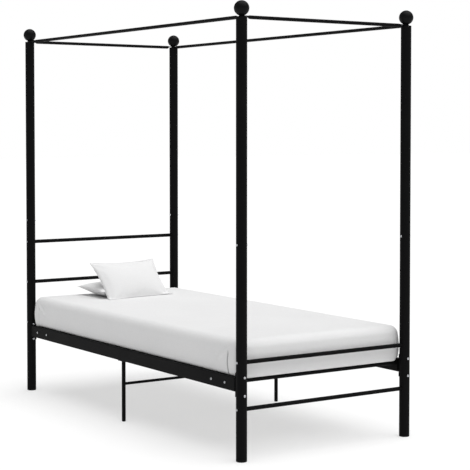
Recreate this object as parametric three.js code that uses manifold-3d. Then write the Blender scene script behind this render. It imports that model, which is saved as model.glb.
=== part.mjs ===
// A single four poster bed in steel tube: four posts in two sections, a ring of
// canopy rails under ball finials, tube head and foot ends, side rails in two
// halves on a centre support, slats, a mattress and two pillows.
// Millimetres, +Z up. The origin is on the floor under the middle of the bed,
// X across the bed, and the head end at +Y.

import * as THREE from "three";
import { mergeVertices } from "three/addons/utils/BufferGeometryUtils.js";
import Module from "manifold-3d";

// Overall layout, between the posts' axes
const POST_SPACING_X = 910;
const POST_SPACING_Y = 2033;
const POST_TOP = 1890.5;

// Posts
const POST_DIAMETER = 48;
const POST_WALL = 1.5;
const SPLICE_BOLT_HEIGHT = 927;
const SEAM_BELOW_BOLT = 27;
const SPIGOT_ABOVE_BOLT = 60;
const TOP_PLATE_THICKNESS = 4;
const TOP_EDGE_CHAMFER = 1;

// Foot caps
const CAP_LIP = 7;
const CAP_PLUG = 22;
const CAP_ROUNDING = 3;

// Ball finials
const BALL_DIAMETER = 65;
const BALL_SEAT_DIAMETER = 14;
const BALL_STEPS = 10;
const STUD_DIAMETER = 8;
const STUD_BELOW_PLATE = 8;

// Canopy rails, round tube flattened to an eyed tab at each end
const CANOPY_DIAMETER = 16;
const TAB_WIDTH = 25;
const TAB_THICKNESS = 2.4;
const TAB_STANDOFF = 3;
const TAB_TAPER = 15;
const TAPER_SHARES = [0, 0.15, 0.5, 0.85, 1];
const VENT_DIAMETER = 4;

// Head and foot rails
const RAIL_DIAMETER = 19;
const HEAD_RAIL_HEIGHTS = { lower: 374, middle: 592, upper: 810 };
const FOOT_RAIL_HEIGHTS = { lower: 224, upper: 425 };

// Side rails
const SIDE_RAIL_BOTTOM = 297;
const SIDE_RAIL_HEIGHT = 60;
const SIDE_RAIL_WIDTH = 30;
const SIDE_RAIL_CORNER = 3;
const SIDE_RAIL_END_GAP = 6;
const JOINT_INSERT_TO_SLAT = 2;

// Corner brackets
const SADDLE_THICKNESS = 3;
const SADDLE_TO_RAIL = 1.9;
const SADDLE_BELOW_RAIL = 19;
const SADDLE_ABOVE_RAIL = 23;
const TONGUE_LENGTH = 150;
const TONGUE_HEIGHT = 50;
const TONGUE_THICKNESS = 4;

// Bracket bolts
const BOLT_DIAMETER = 6;
const BOLT_HEAD_DIAMETER = 11;
const BOLT_HEAD_HEIGHT = 3.6;
const BOLT_HEAD_RIM = 2.2;
const BOLT_CROWN_DIAMETER = 6;
const BOLT_PAST_NUT = 1;
const NUT_CORNERS = 11;
const NUT_HEIGHT = 4.6;
const UPPER_BOLT_ABOVE_RAIL = 5.8;
const LOWER_BOLT_BELOW_RAIL = 13;

// Slats and end tubes under the mattress
const SLAT_DIAMETER = 18;
const SLAT_TOP_BELOW_RAIL_TOP = 11;
const SLAT_INTO_RAIL = 8;
const END_TUBE_FROM_RAIL_END = 13.7;
const SLATS_PER_HALF = 5;

// Centre support
const LEG_DIAMETER = 19;
const LEG_FOOT_ROUNDING = 2;
const LEG_FLOOR_THICKNESS = 4;
const LEG_PLATE_LENGTH = 70;
const LEG_PLATE_THICKNESS = 2.5;
const STRETCHER_DIAMETER = 14;
const STRETCHER_HEIGHT = 184;

// Mattress and its fitted sheet
const MATTRESS_OVER_RAIL = 21;
const MATTRESS_TO_POST = 5.5;
const MATTRESS_THICKNESS = 167;
const MATTRESS_CORNER = 42;
const MATTRESS_EDGE = 30;
const MATTRESS_LOWER_EDGE = 10;
const MATTRESS_SIDE_CLEARANCE = 4;

// Pillows: how far their sides pull in between the corners, and where they lie
const PILLOW_WIDTH = 425;
const PILLOW_DEPTH = 288;
const PILLOW_THICKNESS = 93;
const PILLOW_PULL_IN = 0.06;
const PILLOW_FULLNESS = 0.6;
const PILLOW_GAP = 2;
const PRESSED_PILLOW = 34;
const BACK_PILLOW = { fromHead: 200, across: -8, rise: 32, turn: -2.5, lean: 2 };
const FRONT_PILLOW = { fromHead: 283, across: 0, rise: 76, turn: 9.7, lean: 45 };

// Walls of the thin tubes, the gap between touching pieces, a bolt's play, the least
// inside corner of a box tube, and how far a cut reaches past what it cuts
const THIN_WALL = 1.2;
const FIT = 0.3;
const HOLE_CLEARANCE = 0.3;
const LEAST_CORNER = 0.5;
const CUT_PAST = 1;

// Flats round each kind of round piece
const POST_SIDES = 24;
const BALL_SIDES = 20;
const TUBE_SIDES = 12;
const HOLE_SIDES = 8;
const NUT_SIDES = 6;

const postRadius = POST_DIAMETER / 2;
const halfX = POST_SPACING_X / 2;
const halfY = POST_SPACING_Y / 2;
const sideRailTop = SIDE_RAIL_BOTTOM + SIDE_RAIL_HEIGHT;
const saddleOuter = postRadius + FIT + SADDLE_THICKNESS;
const sideRailEnd = halfY - saddleOuter - SIDE_RAIL_END_GAP;
const bracketBoltHeights = {
  upper: sideRailTop + UPPER_BOLT_ABOVE_RAIL,
  lower: SIDE_RAIL_BOTTOM - LOWER_BOLT_BELOW_RAIL,
};
const slatHeight = sideRailTop - SLAT_TOP_BELOW_RAIL_TOP - SLAT_DIAMETER / 2;
const lowerTab = POST_TOP + FIT;
const upperTab = lowerTab + TAB_THICKNESS + FIT;
const ballSeat = upperTab + TAB_THICKNESS + FIT;

const wasm = await Module();
wasm.setup();

function solid(geometry) {
  geometry.deleteAttribute("normal");
  geometry.deleteAttribute("uv");
  const merged = mergeVertices(geometry, 1e-3);
  const vertProperties = new Float32Array(merged.attributes.position.array);
  const triVerts = new Uint32Array(merged.index.array);
  return new wasm.Manifold(new wasm.Mesh({ numProp: 3, vertProperties, triVerts }));
}

function surface(body) {
  const { vertProperties, triVerts } = body.getMesh();
  const geometry = new THREE.BufferGeometry();
  geometry.setAttribute("position", new THREE.BufferAttribute(vertProperties, 3));
  geometry.setIndex(new THREE.BufferAttribute(triVerts, 1));
  geometry.computeVertexNormals();
  return geometry;
}

const bed = new THREE.Group();

function add(name, body, material) {
  const mesh = new THREE.Mesh(surface(body), material.clone());
  mesh.name = name;
  bed.add(mesh);
}

// A turned piece about the Z axis, from [radius, height] points
function turned(points, sides) {
  const profile = points.map(([radius, height]) => new THREE.Vector2(radius, height));
  return solid(new THREE.LatheGeometry(profile, sides).rotateX(Math.PI / 2));
}

function ringProfile(outer, wall, low, high) {
  return [
    [outer - wall, low],
    [outer, low],
    [outer, high],
    [outer - wall, high],
    [outer - wall, low],
  ];
}

function cylinder(radius, low, high, sides = TUBE_SIDES) {
  return turned([[0, low], [radius, low], [radius, high], [0, high]], sides);
}

function tube(outer, wall, low, high, sides = TUBE_SIDES) {
  return turned(ringProfile(outer, wall, low, high), sides);
}

const alongX = (body) => body.rotate([0, 90, 0]);
const alongY = (body) => body.rotate([-90, 0, 0]);

function block(x0, x1, y0, y1, z0, z1) {
  const geometry = new THREE.BoxGeometry(x1 - x0, y1 - y0, z1 - z0);
  return solid(geometry.translate((x0 + x1) / 2, (y0 + y1) / 2, (z0 + z1) / 2));
}

function roundedRectangle(target, width, height, corner) {
  const w = width / 2;
  const h = height / 2;
  target.moveTo(w - corner, -h);
  target.absarc(w - corner, -h + corner, corner, -Math.PI / 2, 0);
  target.absarc(w - corner, h - corner, corner, 0, Math.PI / 2);
  target.absarc(-w + corner, h - corner, corner, Math.PI / 2, Math.PI);
  target.absarc(-w + corner, -h + corner, corner, Math.PI, Math.PI * 1.5);
  return target;
}

// A rectangular tube along Y, centred on X = 0 and Z = 0
function boxTube(width, height, wall, corner, y0, y1) {
  const shape = roundedRectangle(new THREE.Shape(), width, height, corner);
  const innerCorner = Math.max(corner - wall, LEAST_CORNER);
  const inner = [width - 2 * wall, height - 2 * wall, innerCorner];
  shape.holes.push(roundedRectangle(new THREE.Path(), ...inner));
  const settings = { depth: y1 - y0, bevelEnabled: false, curveSegments: 2 };
  const geometry = new THREE.ExtrudeGeometry(shape, settings);
  return solid(geometry.rotateX(-Math.PI / 2).translate(0, y0, 0));
}

const blackSteel = new THREE.MeshStandardMaterial({
  color: 0x1b1b1d,
  roughness: 0.45,
  metalness: 0.1,
});
const blackPlastic = new THREE.MeshStandardMaterial({
  color: 0x161617,
  roughness: 0.6,
  metalness: 0,
});
const zincSteel = new THREE.MeshStandardMaterial({
  color: 0xc9cacc,
  roughness: 0.35,
  metalness: 0.9,
});
const whiteSheet = new THREE.MeshStandardMaterial({
  color: 0xe9e9e9,
  roughness: 0.9,
  metalness: 0,
});
const whitePillowcase = new THREE.MeshStandardMaterial({
  color: 0xf0f0f0,
  roughness: 0.85,
  metalness: 0,
});

const corners = [
  { name: "head_left", x: -1, y: 1 },
  { name: "head_right", x: 1, y: 1 },
  { name: "foot_left", x: -1, y: -1 },
  { name: "foot_right", x: 1, y: -1 },
];

function boltHole(length) {
  const clear = (BOLT_DIAMETER / 2 + HOLE_CLEARANCE) / Math.cos(Math.PI / HOLE_SIDES);
  return cylinder(clear, -length / 2, length / 2, HOLE_SIDES);
}

// Lower post section: its top is swaged down to a spigot inside the upper section
function lowerPost() {
  const bore = postRadius - POST_WALL;
  const spigot = bore - FIT;
  const seam = SPLICE_BOLT_HEIGHT - SEAM_BELOW_BOLT;
  const spigotTop = SPLICE_BOLT_HEIGHT + SPIGOT_ABOVE_BOLT;
  const foot = CAP_LIP + FIT;
  const throat = seam - 2 * POST_WALL;
  const body = turned(
    [
      [bore, foot],
      [postRadius, foot],
      [postRadius, seam],
      [spigot, seam],
      [spigot, spigotTop],
      [spigot - POST_WALL, spigotTop],
      [spigot - POST_WALL, seam],
      [bore, throat],
      [bore, foot],
    ],
    POST_SIDES,
  );
  const across = boltHole(POST_DIAMETER * 2);
  return body
    .subtract(alongX(across).translate([0, 0, SPLICE_BOLT_HEIGHT]))
    .subtract(alongY(across).translate([0, 0, bracketBoltHeights.upper]))
    .subtract(alongY(across).translate([0, 0, bracketBoltHeights.lower]));
}

// Upper post section, closed by a plate with the hole for the finial's stud
function upperPost() {
  const bore = postRadius - POST_WALL;
  const base = SPLICE_BOLT_HEIGHT - SEAM_BELOW_BOLT + FIT;
  const eye = STUD_DIAMETER / 2 + HOLE_CLEARANCE;
  const plate = POST_TOP - TOP_PLATE_THICKNESS;
  const body = turned(
    [
      [bore, base],
      [postRadius, base],
      [postRadius, POST_TOP - TOP_EDGE_CHAMFER],
      [postRadius - TOP_EDGE_CHAMFER, POST_TOP],
      [eye, POST_TOP],
      [eye, plate],
      [bore, plate],
      [bore, base],
    ],
    POST_SIDES,
  );
  const across = boltHole(POST_DIAMETER * 2);
  return body.subtract(alongX(across).translate([0, 0, SPLICE_BOLT_HEIGHT]));
}

function footCap() {
  const plug = postRadius - POST_WALL - FIT;
  const shoulder = postRadius - CAP_ROUNDING;
  const round = [30, 60].map((degrees) => {
    const angle = THREE.MathUtils.degToRad(degrees);
    const radius = shoulder + CAP_ROUNDING * Math.sin(angle);
    return [radius, CAP_ROUNDING * (1 - Math.cos(angle))];
  });
  return turned(
    [
      [0, 0],
      [shoulder, 0],
      ...round,
      [postRadius, CAP_ROUNDING],
      [postRadius, CAP_LIP],
      [plug, CAP_LIP],
      [plug, CAP_LIP + CAP_PLUG],
      [0, CAP_LIP + CAP_PLUG],
    ],
    POST_SIDES,
  );
}

// Ball finial: a flat seat on the upper tab, and a stud down through the tabs
function ballFinial() {
  const radius = BALL_DIAMETER / 2;
  const seat = BALL_SEAT_DIAMETER / 2;
  const stud = STUD_DIAMETER / 2;
  const studEnd = POST_TOP - TOP_PLATE_THICKNESS - STUD_BELOW_PLATE;
  const start = Math.asin(seat / radius);
  const centre = ballSeat + radius * Math.cos(start);
  const ball = Array.from({ length: BALL_STEPS + 1 }, (_, i) => {
    const angle = start + ((Math.PI - start) * i) / BALL_STEPS;
    const across = i === BALL_STEPS ? 0 : radius * Math.sin(angle);
    return [across, centre - radius * Math.cos(angle)];
  });
  return turned([[0, studEnd], [stud, studEnd], [stud, ballSeat], ...ball], BALL_SIDES);
}

// A closed skin through elliptic sections across X, from [x, half width, half height, z]
function loft(sections, sides) {
  const positions = [];
  const index = [];
  for (const [x, halfWidth, halfHeight, z] of sections) {
    for (let i = 0; i < sides; i++) {
      const angle = (2 * Math.PI * i) / sides;
      positions.push(x, halfWidth * Math.cos(angle), z + halfHeight * Math.sin(angle));
    }
  }
  for (let s = 0; s < sections.length - 1; s++) {
    for (let i = 0; i < sides; i++) {
      const a = s * sides + i;
      const b = s * sides + ((i + 1) % sides);
      index.push(a, b, a + sides, b, b + sides, a + sides);
    }
  }
  const last = (sections.length - 1) * sides;
  for (let i = 1; i < sides - 1; i++) {
    index.push(0, i + 1, i, last, last + i, last + i + 1);
  }
  const geometry = new THREE.BufferGeometry();
  geometry.setAttribute("position", new THREE.Float32BufferAttribute(positions, 3));
  geometry.setIndex(index);
  return solid(geometry);
}

// Canopy rail along X between two posts' axes, its tabs resting at tabHeight
function canopyRail(spacing, tabHeight) {
  const half = spacing / 2;
  const radius = CANOPY_DIAMETER / 2;
  const tabMiddle = tabHeight + TAB_THICKNESS / 2;
  const flatEnd = postRadius + TAB_STANDOFF;
  const taper = TAPER_SHARES.map((share, i) => {
    const reach = flatEnd + (TAB_TAPER * i) / (TAPER_SHARES.length - 1);
    return [
      reach,
      THREE.MathUtils.lerp(TAB_WIDTH / 2, radius, share),
      THREE.MathUtils.lerp(TAB_THICKNESS / 2, radius, share),
      THREE.MathUtils.lerp(tabMiddle, POST_TOP, share),
    ];
  });
  const leftEnd = taper.map(([reach, ...rest]) => [-half + reach, ...rest]);
  const rightEnd = taper.map(([reach, ...rest]) => [half - reach, ...rest]).reverse();
  const bore = half - flatEnd - TAB_TAPER;
  const hollow = alongX(cylinder(radius - THIN_WALL, -bore, bore));
  const vent = cylinder(VENT_DIAMETER / 2, -CANOPY_DIAMETER, 0, HOLE_SIDES);
  let rail = loft([...leftEnd, ...rightEnd], TUBE_SIDES)
    .subtract(hollow.translate([0, 0, POST_TOP]))
    .subtract(vent.translate([bore - CANOPY_DIAMETER, 0, POST_TOP]));
  const tab = TAB_WIDTH / 2;
  const tabTop = tabHeight + TAB_THICKNESS;
  const eyeRadius = STUD_DIAMETER / 2 + HOLE_CLEARANCE;
  const eye = cylinder(eyeRadius, tabHeight - CUT_PAST, tabTop + CUT_PAST);
  for (const side of [-1, 1]) {
    const flat = [-half * side, (flatEnd - half) * side].sort((a, b) => a - b);
    const strip = block(...flat, -tab, tab, tabHeight, tabTop);
    const round = cylinder(tab, tabHeight, tabTop, BALL_SIDES);
    rail = rail.add(strip).add(round.translate([-half * side, 0, 0]));
    rail = rail.subtract(eye.translate([-half * side, 0, 0]));
  }
  return rail;
}

// Round rail across the bed, its ends shaped to the posts
function crossRail(diameter, height) {
  const postSpace = cylinder(postRadius + FIT, height - diameter, height + diameter, POST_SIDES);
  return alongX(tube(diameter / 2, THIN_WALL, -halfX, halfX))
    .translate([0, 0, height])
    .subtract(postSpace.translate([-halfX, 0, 0]))
    .subtract(postSpace.translate([halfX, 0, 0]));
}

// The places of the slats along one half, evenly between the middle and the end tube
const endTubeY = sideRailEnd - END_TUBE_FROM_RAIL_END;
const slatPitch = endTubeY / (SLATS_PER_HALF + 0.5);
const slatPlaces = Array.from({ length: SLATS_PER_HALF }, (_, i) => (i + 0.5) * slatPitch);
const slatReach = halfX - SIDE_RAIL_WIDTH / 2 + SLAT_INTO_RAIL - FIT;
const insertReach = slatPlaces[0] - SLAT_DIAMETER / 2 - JOINT_INSERT_TO_SLAT;

// Half of a side rail, from the middle to its end at +Y, with sockets for the slats in
// its inner wall (at -X) and, on the head half, the insert that joins the other half
function sideRailHalf(withInsert) {
  const middle = SIDE_RAIL_BOTTOM + SIDE_RAIL_HEIGHT / 2;
  const innerWidth = SIDE_RAIL_WIDTH - 2 * THIN_WALL;
  const innerHeight = SIDE_RAIL_HEIGHT - 2 * THIN_WALL;
  const corner = SIDE_RAIL_CORNER - THIN_WALL;
  const shell = [SIDE_RAIL_WIDTH, SIDE_RAIL_HEIGHT, THIN_WALL, SIDE_RAIL_CORNER];
  let rail = boxTube(...shell, FIT / 2, sideRailEnd);
  const socket = alongX(cylinder(SLAT_DIAMETER / 2 + FIT, -SLAT_INTO_RAIL, SLAT_INTO_RAIL));
  for (const y of [...slatPlaces, endTubeY]) {
    rail = rail.subtract(socket.translate([-SIDE_RAIL_WIDTH / 2, y, slatHeight - middle]));
  }
  if (withInsert) {
    const fixed = boxTube(innerWidth, innerHeight, THIN_WALL, corner, FIT, insertReach);
    const loose = [innerWidth - 2 * FIT, innerHeight - 2 * FIT, THIN_WALL, corner];
    const free = boxTube(...loose, -insertReach, 2 * FIT);
    rail = rail.add(fixed).add(free);
  }
  return rail.translate([0, 0, middle]);
}

// Corner bracket on a post at the origin: a saddle on its +Y side, and a tongue that
// lies inside the side rail's outer wall, at +X
function cornerBracket() {
  const inner = postRadius + FIT;
  const wrap = Math.acos((RAIL_DIAMETER / 2 + SADDLE_TO_RAIL) / inner);
  const start = Math.PI / 2 - wrap;
  const end = Math.PI / 2 + wrap;
  const arc = new THREE.Shape();
  arc.absarc(0, 0, saddleOuter, start, end, false);
  arc.absarc(0, 0, inner, end, start, true);
  const low = SIDE_RAIL_BOTTOM - SADDLE_BELOW_RAIL;
  const high = sideRailTop + SADDLE_ABOVE_RAIL;
  const settings = { depth: high - low, bevelEnabled: false, curveSegments: 10 };
  const saddle = solid(new THREE.ExtrudeGeometry(arc, settings).translate(0, 0, low));
  const outside = SIDE_RAIL_WIDTH / 2 - THIN_WALL - FIT;
  const inside = outside - TONGUE_THICKNESS;
  const root = Math.sqrt(inner ** 2 - inside ** 2) + FIT;
  const tip = halfY - sideRailEnd + TONGUE_LENGTH;
  const middle = (SIDE_RAIL_BOTTOM + sideRailTop) / 2;
  const tongueLow = middle - TONGUE_HEIGHT / 2;
  const tongue = block(inside, outside, root, tip, tongueLow, tongueLow + TONGUE_HEIGHT);
  const hole = alongY(boltHole(POST_DIAMETER * 2));
  return saddle
    .add(tongue)
    .subtract(hole.translate([0, 0, bracketBoltHeights.upper]))
    .subtract(hole.translate([0, 0, bracketBoltHeights.lower]));
}

// Bolt along Z through a post, its head at the low end and its nut at the high end
function throughBolt(headSeat, nutSeat) {
  const head = BOLT_HEAD_DIAMETER / 2;
  const shank = BOLT_DIAMETER / 2;
  const tip = nutSeat + NUT_HEIGHT + BOLT_PAST_NUT;
  const bolt = turned(
    [
      [0, -headSeat - BOLT_HEAD_HEIGHT],
      [BOLT_CROWN_DIAMETER / 2, -headSeat - BOLT_HEAD_HEIGHT],
      [head, -headSeat - BOLT_HEAD_RIM],
      [head, -headSeat],
      [shank, -headSeat],
      [shank, tip],
      [0, tip],
    ],
    TUBE_SIDES,
  );
  return bolt.add(cylinder(NUT_CORNERS / 2, nutSeat, nutSeat + NUT_HEIGHT, NUT_SIDES));
}

function centreLeg() {
  const radius = LEG_DIAMETER / 2;
  const bore = radius - THIN_WALL;
  const plateTop = SIDE_RAIL_BOTTOM - FIT;
  const plateLow = plateTop - LEG_PLATE_THICKNESS;
  const tubeLeg = turned(
    [
      [0, 0],
      [radius - LEG_FOOT_ROUNDING, 0],
      [radius, LEG_FOOT_ROUNDING],
      [radius, plateTop],
      [bore, plateTop],
      [bore, LEG_FLOOR_THICKNESS],
      [0, LEG_FLOOR_THICKNESS],
    ],
    TUBE_SIDES,
  );
  const halfWidth = SIDE_RAIL_WIDTH / 2 - SIDE_RAIL_CORNER;
  const halfLength = LEG_PLATE_LENGTH / 2;
  const plate = block(-halfWidth, halfWidth, -halfLength, halfLength, plateLow, plateTop);
  const mouth = cylinder(bore, plateLow - CUT_PAST, plateTop + CUT_PAST);
  return tubeLeg.add(plate.subtract(mouth));
}

function legStretcher() {
  const height = STRETCHER_HEIGHT;
  const legSpace = cylinder(LEG_DIAMETER / 2 + FIT, height - LEG_DIAMETER, height + LEG_DIAMETER);
  return alongX(tube(STRETCHER_DIAMETER / 2, THIN_WALL, -halfX, halfX))
    .translate([0, 0, height])
    .subtract(legSpace.translate([-halfX, 0, 0]))
    .subtract(legSpace.translate([halfX, 0, 0]));
}

const mattressBottom = slatHeight + SLAT_DIAMETER / 2 + FIT;
const mattressTop = mattressBottom + MATTRESS_THICKNESS;
const mattressSide = halfX - SIDE_RAIL_WIDTH / 2 + MATTRESS_OVER_RAIL;
const mattressEnd = halfY - postRadius - MATTRESS_TO_POST;

// Mattress: it lies on the slats between the side rails, and spreads over their tops
function mattress() {
  const edge = MATTRESS_EDGE;
  const outline = [2 * (mattressSide - edge), 2 * (mattressEnd - edge), MATTRESS_CORNER - edge];
  const overRails = sideRailTop + FIT;
  const settings = {
    depth: mattressTop - overRails - 2 * edge,
    bevelThickness: edge,
    bevelSize: edge,
    bevelSegments: 3,
    curveSegments: 4,
  };
  const shape = roundedRectangle(new THREE.Shape(), ...outline);
  const upper = new THREE.ExtrudeGeometry(shape, settings).translate(0, 0, overRails + edge);
  const between = halfX - SIDE_RAIL_WIDTH / 2 - MATTRESS_SIDE_CLEARANCE;
  const end = mattressEnd - MATTRESS_LOWER_EDGE;
  const lower = block(-between, between, -end, end, mattressBottom, overRails + edge);
  return solid(upper).add(lower);
}

// Pillow lying flat on the origin: crowned, its sides pulled in between the corners.
// Grow makes it larger all round.
function pillowShape(grow) {
  const across = 10;
  const along = 8;
  const place = (i, count) => Math.sin((Math.PI / 2) * ((2 * i) / count - 1));
  const positions = [];
  for (const side of [1, -1]) {
    for (let j = 0; j <= along; j++) {
      for (let i = 0; i <= across; i++) {
        const u = place(i, across);
        const v = place(j, along);
        const x = (PILLOW_WIDTH / 2 + grow) * u * (1 - PILLOW_PULL_IN * (1 - v * v));
        const y = (PILLOW_DEPTH / 2 + grow) * v * (1 - PILLOW_PULL_IN * (1 - u * u));
        const rim = i === 0 || i === across || j === 0 || j === along;
        const crown = rim ? 0 : ((1 - u * u) * (1 - v * v)) ** PILLOW_FULLNESS;
        positions.push(x, y, side * (PILLOW_THICKNESS / 2 + grow) * crown);
      }
    }
  }
  const index = [];
  const lower = (across + 1) * (along + 1);
  for (let j = 0; j < along; j++) {
    for (let i = 0; i < across; i++) {
      const a = j * (across + 1) + i;
      const d = a + across + 2;
      index.push(a, a + 1, d, a, d, d - 1);
      index.push(lower + a, lower + d, lower + a + 1, lower + a, lower + d - 1, lower + d);
    }
  }
  const geometry = new THREE.BufferGeometry();
  geometry.setAttribute("position", new THREE.Float32BufferAttribute(positions, 3));
  geometry.setIndex(index);
  return solid(geometry);
}

function placedPillow(grow, { fromHead, across, rise, turn, lean }) {
  const spot = [across, mattressEnd - fromHead, mattressTop + rise];
  return pillowShape(grow).rotate([lean, 0, 0]).rotate([0, 0, turn]).translate(spot);
}

// The front pillow leans on the back one, and presses it flat where it stands on it
const upTo = (height) => block(-halfX, halfX, -halfY, halfY, 0, height);
const pillowSeat = mattressTop + PILLOW_GAP;
const pressedTop = pillowSeat + PRESSED_PILLOW;
const pressedPart = placedPillow(0, BACK_PILLOW).intersect(upTo(pressedTop));
const aroundPressed = placedPillow(PILLOW_GAP, BACK_PILLOW).intersect(upTo(pressedTop + PILLOW_GAP));
const frontPillow = placedPillow(0, FRONT_PILLOW)
  .subtract(aroundPressed.add(aroundPressed.translate([0, 0, -PILLOW_THICKNESS])).hull())
  .subtract(upTo(pillowSeat));
const backPillow = placedPillow(0, BACK_PILLOW)
  .subtract(placedPillow(PILLOW_GAP, FRONT_PILLOW))
  .add(pressedPart)
  .subtract(upTo(pillowSeat));

for (const corner of corners) {
  const at = (body) => body.translate([corner.x * halfX, corner.y * halfY, 0]);
  add(`post_lower_${corner.name}`, at(lowerPost()), blackSteel);
  add(`post_upper_${corner.name}`, at(upperPost()), blackSteel);
  add(`foot_cap_${corner.name}`, at(footCap()), blackPlastic);
  add(`ball_finial_${corner.name}`, at(ballFinial()), blackSteel);
  const bracket = cornerBracket().scale([corner.x, -corner.y, 1]);
  add(`bracket_${corner.name}`, at(bracket), blackSteel);
  const onPost = postRadius + FIT;
  const onSaddle = saddleOuter + FIT;
  const atHead = corner.y > 0;
  const bolt = alongY(throughBolt(atHead ? onSaddle : onPost, atHead ? onPost : onSaddle));
  for (const [level, height] of Object.entries(bracketBoltHeights)) {
    add(`bracket_bolt_${level}_${corner.name}`, at(bolt).translate([0, 0, height]), zincSteel);
  }
}

const ends = [
  { name: "head", y: 1, rails: HEAD_RAIL_HEIGHTS },
  { name: "foot", y: -1, rails: FOOT_RAIL_HEIGHTS },
];
const sides = [
  { name: "left", x: -1 },
  { name: "right", x: 1 },
];

const slat = alongX(tube(SLAT_DIAMETER / 2, THIN_WALL, -slatReach, slatReach));

for (const end of ends) {
  const endward = [0, end.y * halfY, 0];
  const canopy = canopyRail(POST_SPACING_X, upperTab);
  add(`canopy_rail_${end.name}`, canopy.translate(endward), blackSteel);
  for (const [level, height] of Object.entries(end.rails)) {
    const rail = crossRail(RAIL_DIAMETER, height);
    add(`${end.name}_rail_${level}`, rail.translate(endward), blackSteel);
  }
  const endTube = slat.translate([0, end.y * endTubeY, slatHeight]);
  add(`end_tube_${end.name}`, endTube, blackSteel);
  slatPlaces.forEach((place, i) => {
    const body = slat.translate([0, end.y * place, slatHeight]);
    add(`slat_${end.name}_${i + 1}`, body, blackSteel);
  });
}

for (const side of sides) {
  const sideward = [side.x * halfX, 0, 0];
  const canopy = canopyRail(POST_SPACING_Y, lowerTab).rotate([0, 0, 90]);
  add(`canopy_rail_${side.name}`, canopy.translate(sideward), blackSteel);
  for (const end of ends) {
    const half = sideRailHalf(end.name === "head").scale([side.x, end.y, 1]);
    add(`side_rail_${side.name}_${end.name}`, half.translate(sideward), blackSteel);
  }
  add(`centre_leg_${side.name}`, centreLeg().translate(sideward), blackSteel);
}
add("leg_stretcher", legStretcher(), blackSteel);

add("mattress", mattress(), whiteSheet);
add("pillow_back", backPillow, whitePillowcase);
add("pillow_front", frontPillow, whitePillowcase);

export default bed;
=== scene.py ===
# A black steel four poster bed, dressed with a fitted sheet and two small pillows.
# Metres throughout. The CAD frame gives every place; this script gives the looks.
import math

import bpy
import numpy as np
from mathutils import Matrix, Vector, noise


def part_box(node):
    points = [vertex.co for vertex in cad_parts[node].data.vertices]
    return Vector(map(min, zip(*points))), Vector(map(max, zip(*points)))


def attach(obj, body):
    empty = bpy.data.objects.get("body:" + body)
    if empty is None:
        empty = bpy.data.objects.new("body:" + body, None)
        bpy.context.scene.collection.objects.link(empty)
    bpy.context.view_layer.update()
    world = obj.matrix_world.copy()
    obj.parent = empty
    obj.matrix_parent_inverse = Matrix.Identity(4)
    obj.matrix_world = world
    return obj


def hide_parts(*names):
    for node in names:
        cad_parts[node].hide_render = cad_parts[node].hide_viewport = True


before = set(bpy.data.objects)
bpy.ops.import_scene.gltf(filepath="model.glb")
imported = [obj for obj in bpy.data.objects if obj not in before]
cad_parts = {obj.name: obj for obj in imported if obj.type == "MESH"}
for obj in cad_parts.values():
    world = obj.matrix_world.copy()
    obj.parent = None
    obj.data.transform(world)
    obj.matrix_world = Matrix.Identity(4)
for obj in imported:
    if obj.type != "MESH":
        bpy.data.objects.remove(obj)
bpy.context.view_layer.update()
print("frame loaded:", len(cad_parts), "nodes")


class Value:  # a socket that takes plain arithmetic
    def __init__(self, finish, socket):
        self.finish = finish
        self.socket = socket

    def maths(self, operation, first, second=0.0):
        return self.finish.add("ShaderNodeMath", {"operation": operation}, {0: first, 1: second})

    def __add__(self, other):
        return self.maths("ADD", self, other)

    def __sub__(self, other):
        return self.maths("SUBTRACT", self, other)

    def __mul__(self, other):
        return self.maths("MULTIPLY", self, other)

    def __rsub__(self, other):
        return self.maths("SUBTRACT", other, self)

    __radd__ = __add__
    __rmul__ = __mul__

    def sine(self):
        return self.maths("SINE", self)

    def size(self):  # without its sign
        return self.maths("ABSOLUTE", self)


class Finish:  # a material while its nodes are being laid
    def __init__(self, name):
        self.material = bpy.data.materials.new(name)
        self.material.use_nodes = True
        self.nodes = self.material.node_tree.nodes
        self.links = self.material.node_tree.links
        self.shader = self.nodes["Principled BSDF"]

    def feed(self, socket, value):
        if isinstance(value, Value):
            self.links.new(value.socket, socket)
        elif isinstance(value, tuple) and len(value) == 3 and socket.type == "RGBA":
            socket.default_value = (*value, 1.0)
        else:
            socket.default_value = value

    def add(self, kind, settings=None, inputs=None, output=0):
        node = self.nodes.new(kind)
        for key, value in (settings or {}).items():
            setattr(node, key, value)
        for key, value in (inputs or {}).items():
            self.feed(node.inputs[key], value)
        return Value(self, node.outputs[output])

    def place(self):
        return self.add("ShaderNodeTexCoord", output="Object")

    def split(self, place, axis):
        return self.add("ShaderNodeSeparateXYZ", None, {0: place}, axis)

    def stretched(self, place, x, y, z):
        return self.add("ShaderNodeVectorMath", {"operation": "MULTIPLY"}, {0: place, 1: (x, y, z)})

    def grain(self, place, scale, detail=2.0, roughness=0.5):
        inputs = {"Vector": place, "Scale": scale, "Detail": detail, "Roughness": roughness}
        return self.add("ShaderNodeTexNoise", None, inputs)

    def ranged(self, value, low, high):
        limits = {"Value": value, "From Min": low, "From Max": high}
        return self.add("ShaderNodeMapRange", {"clamp": True}, limits)

    def mixed(self, mask, first, second):
        settings = {"data_type": "RGBA"}
        return self.add("ShaderNodeMix", settings, {0: mask, 6: first, 7: second}, 2)

    def bumped(self, height, depth, strength=1.0):
        inputs = {"Height": height, "Distance": depth, "Strength": strength}
        return self.add("ShaderNodeBump", None, inputs)

    def done(self, **sockets):
        for name, value in sockets.items():
            self.feed(self.shader.inputs[socketNames.get(name, name)], value)
        return self.material


socketNames = {
    "colour": "Base Color",
    "roughness": "Roughness",
    "metal": "Metallic",
    "normal": "Normal",
    "gloss": "Specular IOR Level",
    "sheen": "Sheen Weight",
    "sheenSpread": "Sheen Roughness",
    "glow": "Emission Color",
    "glowStrength": "Emission Strength",
}


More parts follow.
